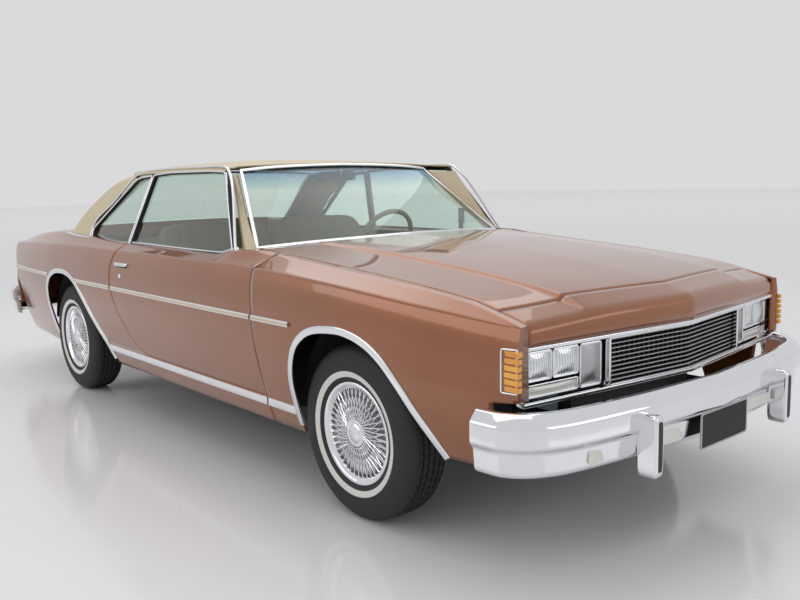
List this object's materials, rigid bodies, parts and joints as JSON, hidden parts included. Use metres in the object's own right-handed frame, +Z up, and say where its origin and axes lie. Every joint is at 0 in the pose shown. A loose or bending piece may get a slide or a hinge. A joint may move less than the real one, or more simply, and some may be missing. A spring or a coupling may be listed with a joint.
{
  "type": "full-size coupe",
  "caption": "Long two-door car with a full frame, vinyl-covered roof, wire wheel covers, opening doors, hood and trunk lid, and steered front wheels.",
  "frame": {"origin": "on the floor under the middle of the car's length and width", "axes": "+Z up, the nose points to -Y, the car's left side is +X"},
  "size_m": [1.974, 5.376, 1.42],
  "materials": {
    "paint": "copper bronze metallic",
    "vinyl": "cream vinyl, fine grain",
    "glass": "tinted",
    "lamp_glass": "clear ribbed",
    "lamp_red": "ribbed lens",
    "chrome": "bright",
    "tyre": "whitewall",
    "trim": "grained",
    "cloth": "woven with vinyl bolsters",
    "cast_iron": "painted casting",
    "steel": "dull",
    "radiator_black": "matt",
    "chassis_black": "satin underbody coat"
  },
  "bodies": {
    "car_body": {"chassis_frame": "chassis_black", "cowl_panel": "paint", "dashboard": "trim", "driveline": "chassis_black", "engine_block": "cast_iron", "exhaust": "steel", "fender_left": "paint", "fender_right": "paint", "floor_pan": "chassis_black", "front_bumper": "chrome", "front_seat": "cloth", "fuel_tank": "steel", "grille": "chrome", "header_panel": "paint", "headlamps": "lamp_glass", "quarter_glass": "glass", "quarter_panel_left": "paint", "quarter_panel_right": "paint", "radiator": "radiator_black", "rear_axle": "chassis_black", "rear_bumper": "chrome", "rear_deck_panel": "paint", "rear_seat": "cloth", "rear_window": "glass", "roof_panel": "vinyl", "steering_wheel": "trim", "suspension_arms": "chassis_black", "tail_lamps": "lamp_red", "tail_panel": "paint", "wheelhouses": "chassis_black", "windshield": "glass", "windshield_pillars": "vinyl"},
    "door_left": {"door_left": "paint", "door_glass_left": "glass", "door_mirror": "chrome"},
    "knuckle_left": {"steering_knuckle_left": "chassis_black"},
    "front_wheel_left": {"tyre_front_left": "tyre", "wheel_front_left": "chrome"},
    "rear_wheel_left": {"tyre_rear_left": "tyre", "wheel_rear_left": "chrome"},
    "door_right": {"door_right": "paint", "door_glass_right": "glass"},
    "knuckle_right": {"steering_knuckle_right": "chassis_black"},
    "front_wheel_right": {"tyre_front_right": "tyre", "wheel_front_right": "chrome"},
    "rear_wheel_right": {"tyre_rear_right": "tyre", "wheel_rear_right": "chrome"},
    "hood": {"hood": "paint"},
    "trunk_lid": {"trunk_lid": "paint"}
  },
  "joints": [
    {"name": "door_right_hinge", "type": "hinge", "parent": "car_body", "child": "door_right", "pos_m": [-0.966, -1.063, 0.65], "axis": [0, 0, 1], "range_deg": [0, 65]},
    {"name": "door_left_hinge", "type": "hinge", "parent": "car_body", "child": "door_left", "pos_m": [0.966, -1.063, 0.65], "axis": [0, 0, -1], "range_deg": [0, 65]},
    {"name": "hood_hinge", "type": "hinge", "parent": "car_body", "child": "hood", "pos_m": [0, -0.892, 1.01], "axis": [-1, 0, 0], "range_deg": [0, 52]},
    {"name": "trunk_hinge", "type": "hinge", "parent": "car_body", "child": "trunk_lid", "pos_m": [0, 1.507, 1.052], "axis": [1, 0, 0], "range_deg": [0, 70]},
    {"name": "steer_left", "type": "hinge", "parent": "car_body", "child": "knuckle_left", "pos_m": [0.705, -1.648, 0.34], "axis": [0, 0, 1], "range_deg": [-34, 34]},
    {"name": "front_wheel_left_spin", "type": "hinge", "parent": "knuckle_left", "child": "front_wheel_left", "pos_m": [0.781, -1.648, 0.34], "axis": [1, 0, 0], "continuous": true},
    {"name": "rear_wheel_left_spin", "type": "hinge", "parent": "car_body", "child": "rear_wheel_left", "pos_m": [0.781, 1.298, 0.34], "axis": [1, 0, 0], "continuous": true},
    {"name": "steer_right", "type": "hinge", "parent": "car_body", "child": "knuckle_right", "pos_m": [-0.705, -1.648, 0.34], "axis": [0, 0, 1], "range_deg": [-34, 34]},
    {"name": "front_wheel_right_spin", "type": "hinge", "parent": "knuckle_right", "child": "front_wheel_right", "pos_m": [-0.781, -1.648, 0.34], "axis": [1, 0, 0], "continuous": true},
    {"name": "rear_wheel_right_spin", "type": "hinge", "parent": "car_body", "child": "rear_wheel_right", "pos_m": [-0.781, 1.298, 0.34], "axis": [1, 0, 0], "continuous": true}
  ],
  "couplings": [
    {"joint": "steer_right", "follows": "steer_left", "ratio": 1}
  ]
}
